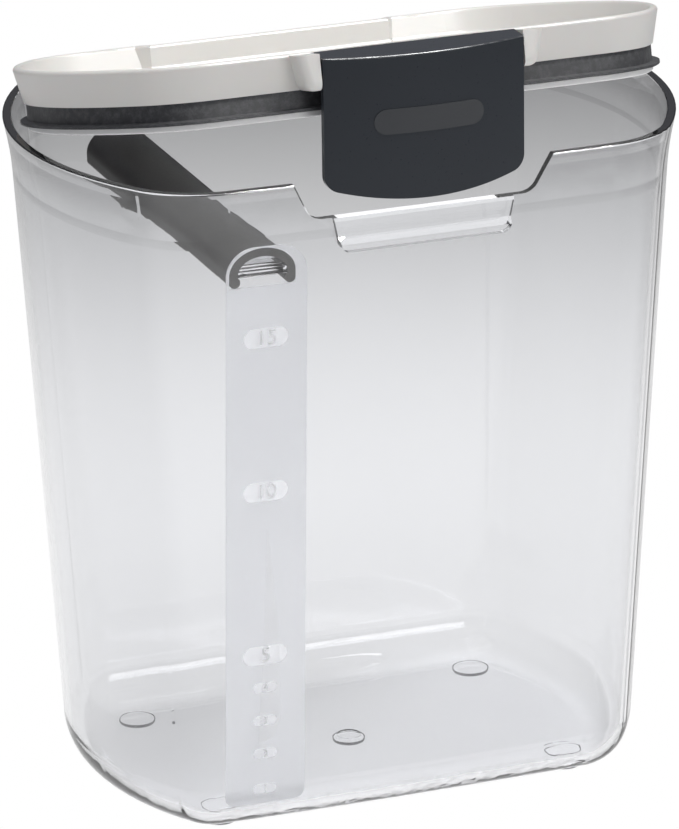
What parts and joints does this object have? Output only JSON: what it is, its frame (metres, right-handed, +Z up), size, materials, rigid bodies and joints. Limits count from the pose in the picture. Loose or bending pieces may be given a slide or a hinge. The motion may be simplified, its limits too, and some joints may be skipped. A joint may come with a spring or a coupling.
{
  "type": "dry food storage bin",
  "caption": "Clear tinted dry-food bin with a hinged white lid, rubber seal, front latch, levelling bar across the mouth and a frosted measuring strip.",
  "frame": {"origin": "centre of the base, on the surface the feet stand on", "axes": "+Z up, -Y front (latch side), +X to the right seen from the front"},
  "size_m": [0.2092, 0.155, 0.2554],
  "materials": {
    "tub": "clear, gloss, faint smoke tint",
    "measuring_strip": "frosted",
    "levelling_bar": "satin",
    "pin_steel": "bright",
    "lid_shell": "satin",
    "lid_base": "satin",
    "lid_seal": "matte",
    "latch": "satin",
    "latch_badge": "matte"
  },
  "bodies": {
    "container": {"tub": "tub", "measuring_strip": "measuring_strip", "levelling_bar": "levelling_bar"},
    "hinge_pin": {"hinge_pin": "pin_steel"},
    "lid": {"lid_shell": "lid_shell", "lid_base": "lid_base", "lid_seal": "lid_seal"},
    "latch_pin": {"latch_pin": "pin_steel"},
    "latch": {"latch": "latch", "latch_badge": "latch_badge"}
  },
  "joints": [
    {"name": "lid_close", "type": "hinge", "parent": "container", "child": "hinge_pin", "pos_m": [0, 0.0725, 0.216], "axis": [-1, 0, 0], "range_deg": [-13.7, 0]},
    {"name": "lid_open", "type": "hinge", "parent": "hinge_pin", "child": "lid", "pos_m": [0, 0.0725, 0.216], "axis": [-1, 0, 0], "range_deg": [0, 86.3]},
    {"name": "latch_carry", "type": "hinge", "parent": "lid", "child": "latch_pin", "pos_m": [0, -0.06986, 0.25225], "axis": [-1, 0, 0], "range_deg": [0, 22.3]},
    {"name": "latch_swing", "type": "hinge", "parent": "latch_pin", "child": "latch", "pos_m": [0, -0.06986, 0.25225], "axis": [-1, 0, 0], "range_deg": [-8.5, 110]}
  ],
  "couplings": [
    {"joint": "latch_carry", "follows": "lid_close", "ratio": -1.62}
  ]
}
